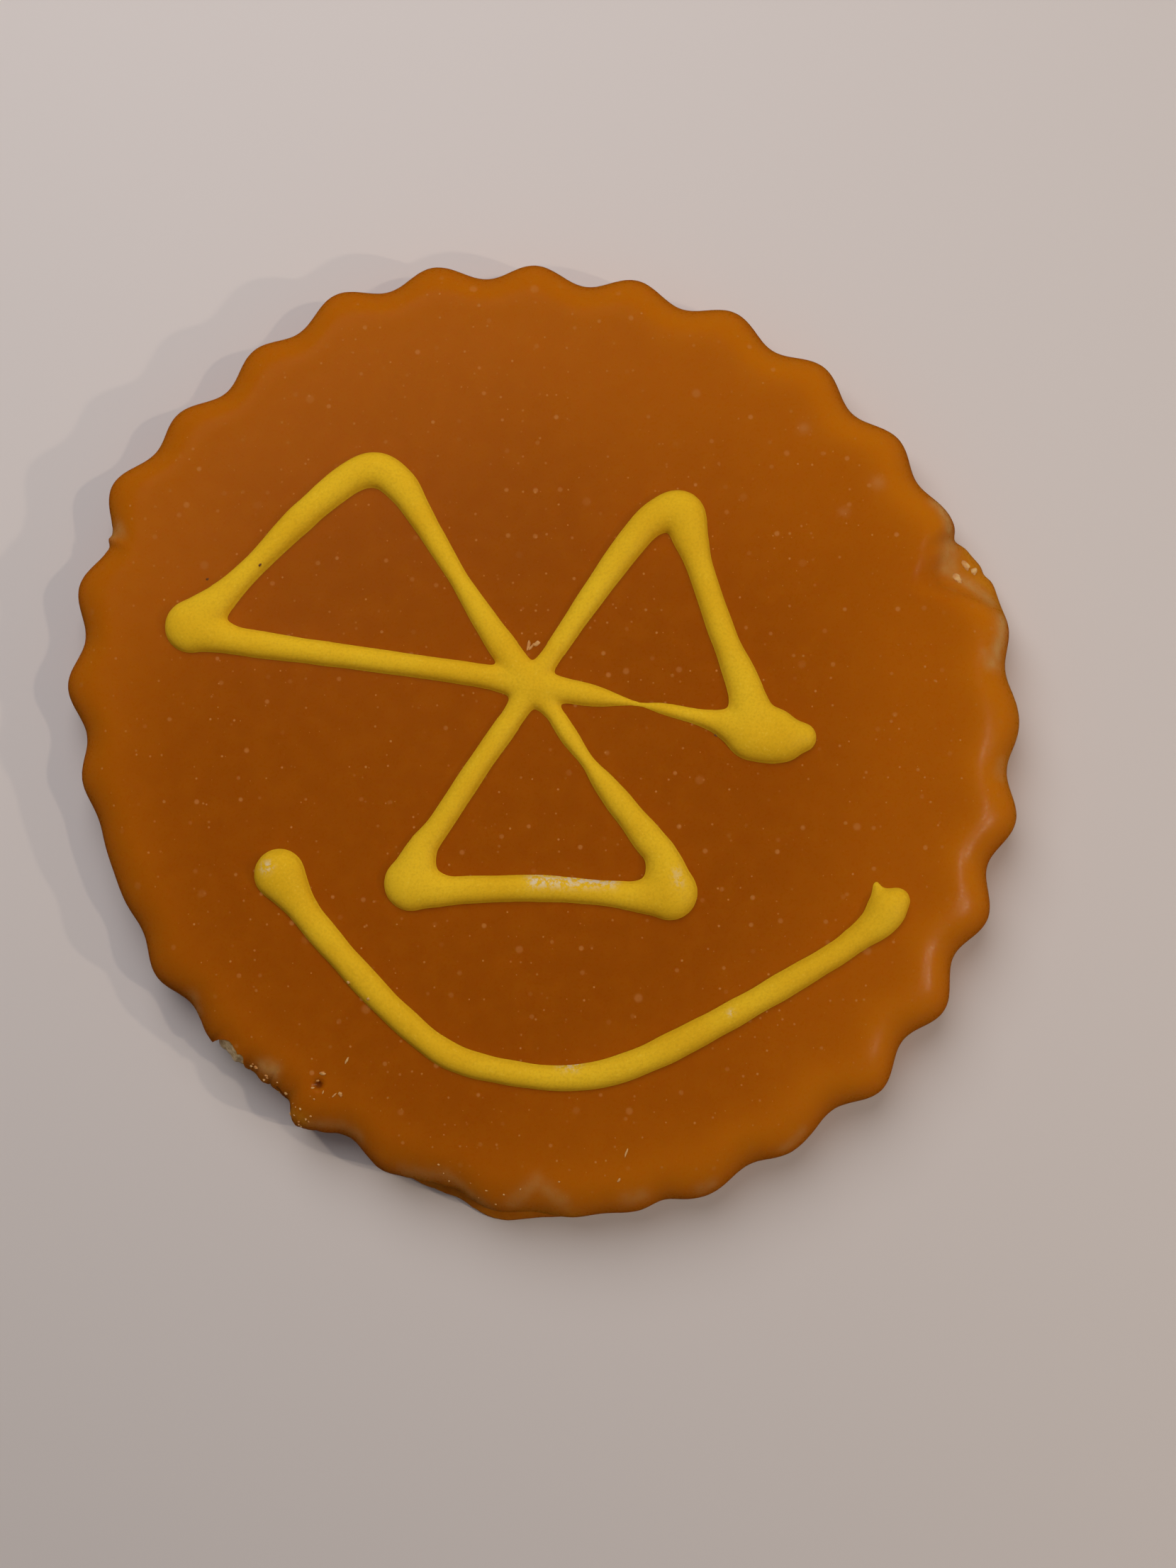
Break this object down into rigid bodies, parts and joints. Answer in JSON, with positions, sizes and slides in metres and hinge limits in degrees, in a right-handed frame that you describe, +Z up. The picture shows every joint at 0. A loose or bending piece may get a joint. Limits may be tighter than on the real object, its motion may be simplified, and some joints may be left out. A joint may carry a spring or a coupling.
{
  "type": "iced sugar cookie",
  "caption": "Round fluted sugar cookie under smooth orange icing, with a pumpkin face of triangle eyes, nose and smile piped in yellow.",
  "frame": {"origin": "middle of the cookie's plan, on the surface it lies on", "axes": "+Z up out of the iced top; +Y towards the top of the piped face; +X to the face's right as seen from above"},
  "size_m": [0.0972, 0.0982, 0.0111],
  "materials": {
    "baked_biscuit": "dry, crumbly baked dough, pale inside and golden brown underneath",
    "orange_icing": "set poured icing, satin gloss, slightly translucent, with small bubbles",
    "yellow_icing": "set piped icing, matte with a fine grain"
  },
  "bodies": {
    "root": {"biscuit": "baked_biscuit", "icing_coat": "orange_icing", "piped_face": "yellow_icing", "piped_smile": "yellow_icing"}
  },
  "joints": []
}
